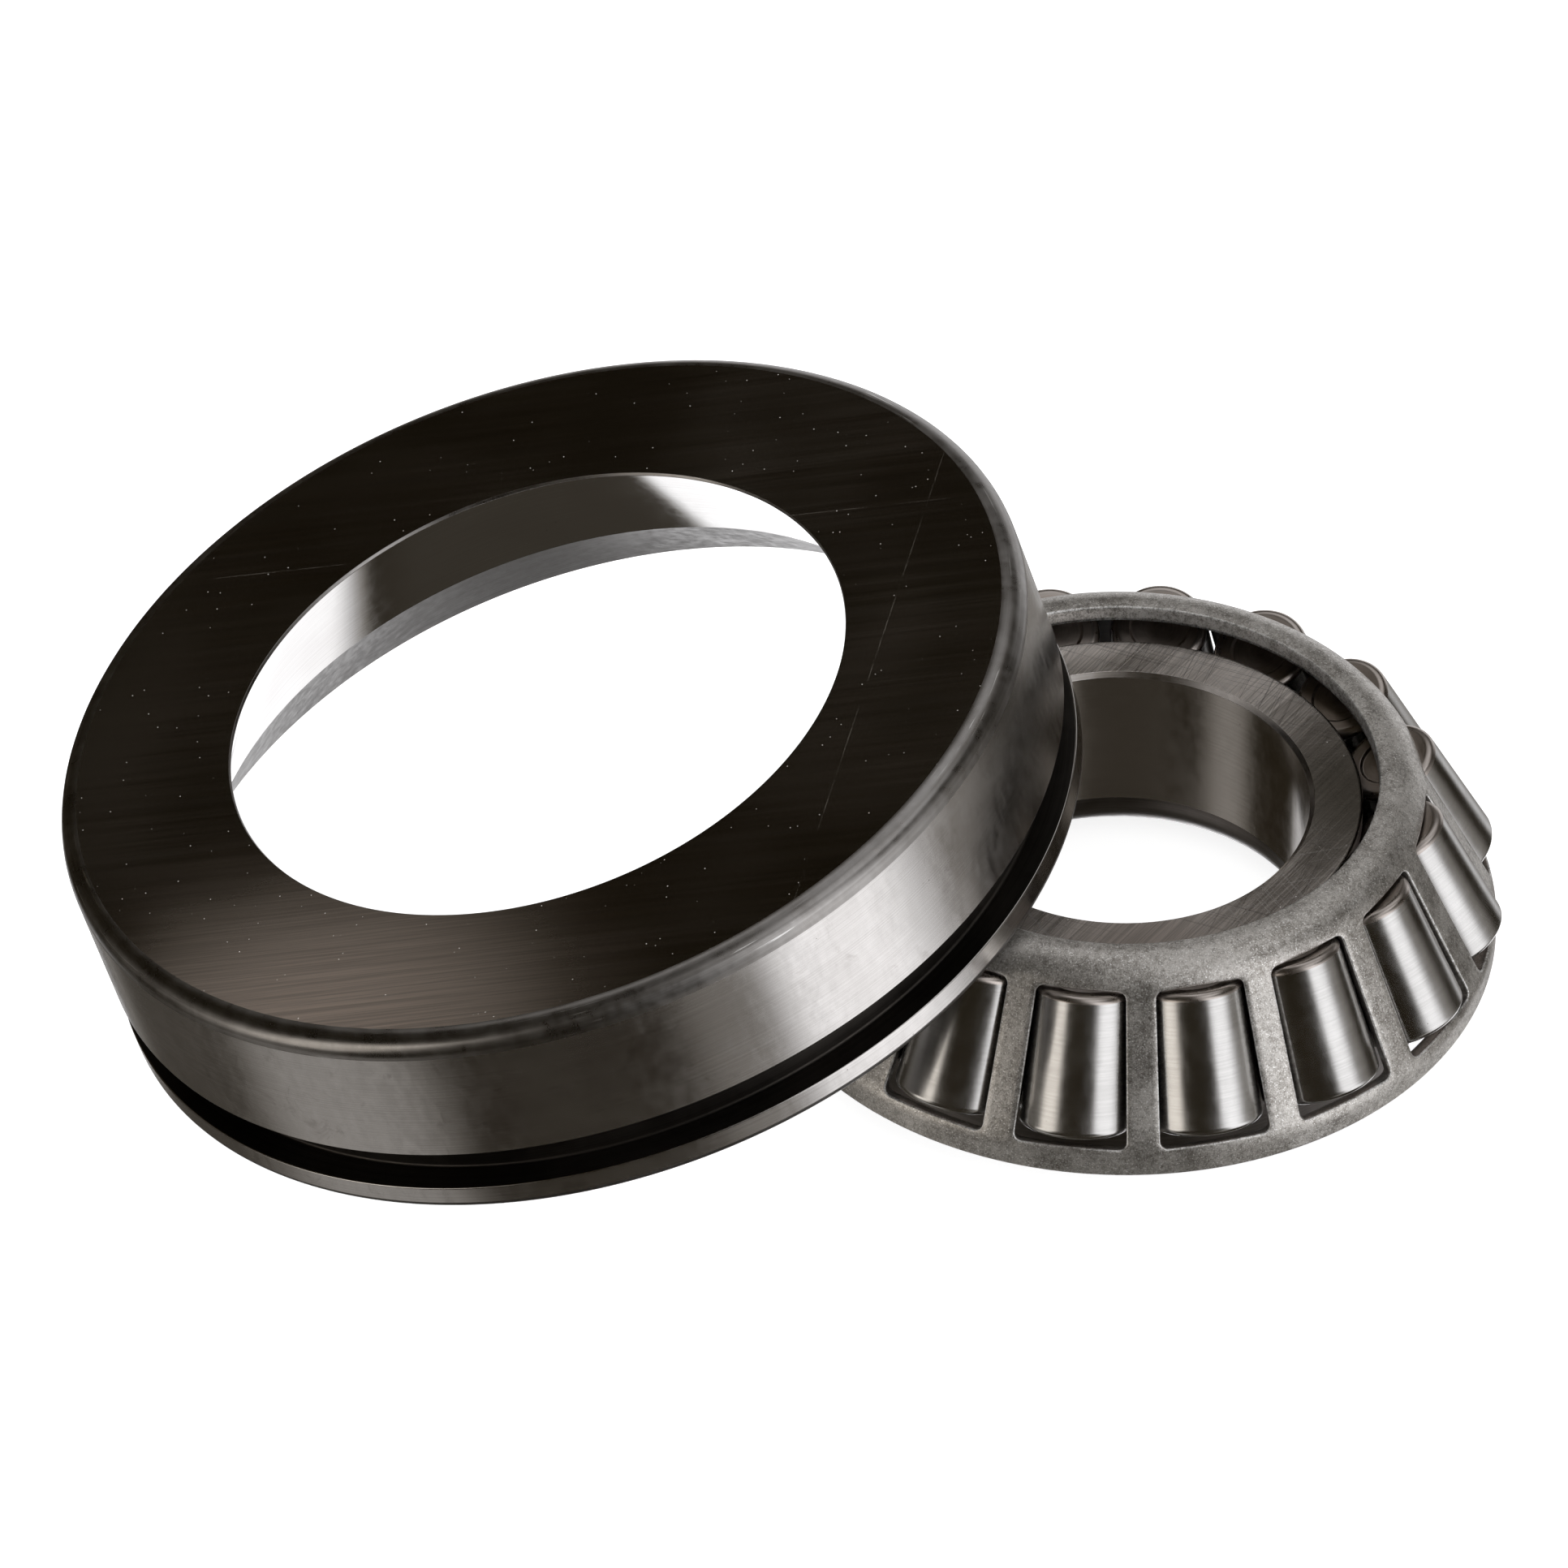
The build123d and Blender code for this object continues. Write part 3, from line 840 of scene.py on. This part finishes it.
def studio():
    """Plain white light, and for reflections a dark room with strip boxes and a lit table.

    Directions are degrees of azimuth and elevation; azimuth 0 is behind the object, 90 to its
    right and 180 towards the camera.
    """
    world = bpy.data.worlds.new("studio")
    bpy.context.scene.world = world
    world.use_nodes = True
    tree = world.node_tree
    tree.nodes.clear()
    direction = add(tree, "TexCoord").outputs["Generated"]
    part = add(tree, "SeparateXYZ", {0: direction})
    turn = maths(tree, "ARCTAN2", part.outputs[0], part.outputs[1])
    azimuth = maths(tree, "MULTIPLY", turn, math.degrees(1))
    elevation = maths(tree, "MULTIPLY", maths(tree, "ARCSINE", part.outputs[2]), math.degrees(1))

    def window(value, low, high, soft_low, soft_high):
        rise = ramp(tree, value, low - soft_low, low + soft_low)
        fall = ramp(tree, value, high + soft_high, high - soft_high)
        return maths(tree, "MULTIPLY", rise, fall)

    def box(az_low, az_high, el_low, el_high, level, az_soft=(5, 5), el_soft=(5, 5), tilt=0.0):
        """A lit patch with soft borders; tilt moves its middle by so many degrees per degree up."""
        middle = (az_low + az_high) / 2
        turned = maths(tree, "SUBTRACT", azimuth, middle)
        if tilt:
            turned = maths(tree, "SUBTRACT", turned, maths(tree, "MULTIPLY", elevation, tilt))
        wrapped = maths(tree, "WRAP", turned, 180.0, -180.0)
        across = window(wrapped, az_low - middle, az_high - middle, *az_soft)
        up = window(elevation, el_low, el_high, *el_soft)
        return maths(tree, "MULTIPLY", maths(tree, "MULTIPLY", across, up), level / STEEL)

    left_strip = box(-137, -109, -22, 21, 0.74, (5, 5), (5, 6), -0.33)
    boxes = [
        box(107, 143, -36, 44, 0.95, (11, 6), (6, 8), 0.4),        # right strip box
        box(80, 110, -30, 30, 0.14, (10, 10), (8, 8), 0.4),        # its spill on the wall
        box(134, 151, -46, -22, 0.14, (4, 5), (4, 4)),             # its light on the table
        left_strip,
        box(-108, -70, -20, 6, 0.07, (6, 8), (5, 8)),              # its spill on the wall
        box(-124, -97, -47, -24, 0.16, (9, 8), (3, 5)),            # its light on the table
        box(-150, -90, -64, -47, 0.22, (10, 12), (6, 3)),          # the table nearer on that side
        box(-90, -15, -62, -44, 0.03, (10, 10), (5, 3)),           # dim table behind, left
        box(-13, 60, -62, -43.5, 0.86, (3, 6), (2, 1.5)),          # lit table behind
        box(-28, 2, -73.5, -53, 0.86, (4, 4), (2, 3)),             # its nearer part
        box(-8, 46, -27, 14, 0.5, (8, 6), (5, 6)),                 # bright wall behind
        box(-46, -20, -46, -35, 0.42, (4, 2), (3, 3)),             # far edge of the table, left
        box(5, 88, -46, -36, 0.31, (5, 10), (2, 2)),               # far edge of the table, right
        box(8, 40, -37, -27, 0.12, (5, 8), (2, 4)),                # between table and wall
        box(150, 210, -46, -36, 0.018, (10, 10), (3, 3)),          # table towards the camera
        box(-180, 180, -95, -62, 0.016, (1, 1), (1, 6)),           # table below
        box(-42, 52, 46, 95, 0.42, (22, 22), (7, 1)),              # ceiling
        box(72, 165, 50, 84, 0.6, (16, 30), (6, 8)),               # its right side
    ]
    total = boxes[0]
    for more in boxes[1:]:
        total = maths(tree, "ADD", total, more)
    cool = maths(tree, "SUBTRACT", total, left_strip)       # the left strip box keeps a warm light
    dark = rgb(0.0225, 0.0175, 0.0105)
    lit = mix_colour(tree, ramp(tree, cool, 0.0, 0.7), rgb(1.06, 1.0, 0.93), rgb(0.965, 0.97, 1.0))
    glow = add(tree, "VectorMath", {0: lit, "Scale": total}, operation="SCALE").outputs[0]
    room = add(tree, "VectorMath", {0: glow, 1: dark[:3]}, operation="ADD").outputs[0]
    rays = add(tree, "LightPath")
    plain = add(tree, "Background", {"Color": rgb(1, 1, 1), "Strength": 1.55})
    shiny = add(tree, "Background", {"Color": room, "Strength": 1.0})
    chosen = add(tree, "MixShader", {0: rays.outputs["Is Glossy Ray"], 1: plain, 2: shiny})
    add(tree, "OutputWorld", {"Surface": chosen})
    world.cycles.sampling_method = "NONE"


studio()

# ---------------------------------------------------------------- camera
ELEVATION = math.radians(40.86)
FOCAL = 11.3872                          # focal length in picture widths
SENSOR = 36
SIDE_SHIFT, DOWN_SHIFT = 36.05, 19.06    # mm from the view's axis to the cone's foot
DISTANCE = 1917.55                       # mm from the camera to the cone's foot, along the view


def set_camera():
    """A long lens in front, looking down at the bench."""
    data = bpy.data.cameras.new("camera")
    data.sensor_width = SENSOR
    data.lens = FOCAL * SENSOR
    data.clip_start, data.clip_end = 0.05, 20
    camera = bpy.data.objects.new("camera", data)
    bpy.context.collection.objects.link(camera)
    ahead = Vector((0, math.cos(ELEVATION), -math.sin(ELEVATION)))
    right = Vector((1, 0, 0))
    down = ahead.cross(right)
    to_foot = (right * SIDE_SHIFT + down * DOWN_SHIFT + ahead * DISTANCE) * MM
    camera.location = Vector((0, 0, FLOOR_Z)) - to_foot
    camera.rotation_euler = (math.pi / 2 - ELEVATION, 0, 0)
    bpy.context.scene.camera = camera
    bpy.context.scene.view_settings.view_transform = "Standard"


set_camera()
